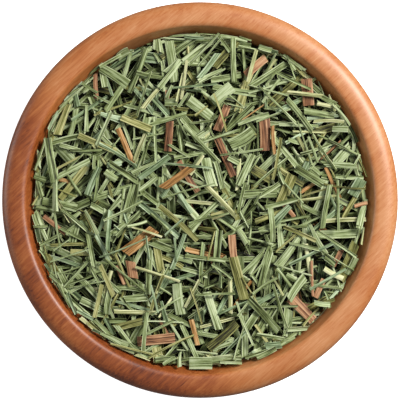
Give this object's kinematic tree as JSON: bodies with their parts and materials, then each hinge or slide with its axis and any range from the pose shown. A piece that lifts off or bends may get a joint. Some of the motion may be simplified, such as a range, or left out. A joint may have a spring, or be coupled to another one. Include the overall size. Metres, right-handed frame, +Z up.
{
  "type": "bowl of dried cut lemongrass",
  "caption": "Round turned wooden bowl with a rolled rim and low foot, filled almost to the rim with dried lemongrass leaf cut into short flat strips.",
  "frame": {"origin": "centre of the foot's underside, on the surface the bowl stands on", "axes": "+Z up along the bowl's turning axis; +Y towards the back of the bowl, +X to its right"},
  "size_m": [0.14, 0.14, 0.05],
  "materials": {
    "oiled_hardwood": "satin",
    "packed_leaf": "matte",
    "dried_leaf_green": "matte",
    "dried_leaf_olive": "matte",
    "dried_leaf_pale": "matte",
    "dried_sheath_brown": "matte",
    "dried_sheath_tan": "matte"
  },
  "bodies": {
    "root": {"wooden_bowl": "oiled_hardwood", "packed_cuttings": "packed_leaf", "brown_sheath_01": "dried_sheath_brown", "brown_sheath_02": "dried_sheath_brown", "brown_sheath_03": "dried_sheath_brown", "brown_sheath_04": "dried_sheath_brown", "brown_sheath_05": "dried_sheath_brown", "brown_sheath_06": "dried_sheath_brown", "brown_sheath_07": "dried_sheath_brown", "brown_sheath_08": "dried_sheath_brown", "brown_sheath_09": "dried_sheath_brown", "brown_sheath_10": "dried_sheath_brown", "brown_sheath_11": "dried_sheath_brown", "brown_sheath_12": "dried_sheath_brown", "brown_sheath_13": "dried_sheath_brown", "brown_sheath_14": "dried_sheath_brown", "brown_sheath_15": "dried_sheath_brown", "brown_sheath_16": "dried_sheath_brown", "brown_sheath_17": "dried_sheath_brown", "tan_sheath_01": "dried_sheath_tan", "tan_sheath_02": "dried_sheath_tan", "tan_sheath_03": "dried_sheath_tan", "tan_sheath_04": "dried_sheath_tan", "olive_blade_01": "dried_leaf_olive", "olive_blade_02": "dried_leaf_olive", "olive_blade_03": "dried_leaf_olive", "olive_blade_04": "dried_leaf_olive", "green_blade_01": "dried_leaf_green", "green_blade_02": "dried_leaf_green", "green_blade_03": "dried_leaf_green", "green_blade_04": "dried_leaf_green", "green_blade_05": "dried_leaf_green", "green_blade_06": "dried_leaf_green", "green_blade_07": "dried_leaf_green", "green_blade_08": "dried_leaf_green", "green_blade_09": "dried_leaf_green", "green_blade_10": "dried_leaf_green", "green_blade_11": "dried_leaf_green", "green_blade_12": "dried_leaf_green", "green_blade_13": "dried_leaf_green", "green_blade_14": "dried_leaf_green", "green_blade_15": "dried_leaf_green", "green_blade_16": "dried_leaf_green", "green_blade_17": "dried_leaf_green", "green_blade_18": "dried_leaf_green", "green_blade_19": "dried_leaf_green", "folded_blade_01": "dried_leaf_green", "folded_blade_02": "dried_leaf_green", "folded_blade_03": "dried_leaf_green", "folded_blade_04": "dried_leaf_green", "folded_blade_05": "dried_leaf_green", "pale_rib_01": "dried_leaf_pale", "pale_rib_02": "dried_leaf_pale", "pale_rib_03": "dried_leaf_pale", "pale_rib_04": "dried_leaf_pale", "pale_rib_05": "dried_leaf_pale", "pale_rib_06": "dried_leaf_pale", "pale_rib_07": "dried_leaf_pale", "pale_rib_08": "dried_leaf_pale", "pale_rib_09": "dried_leaf_pale"}
  },
  "joints": []
}
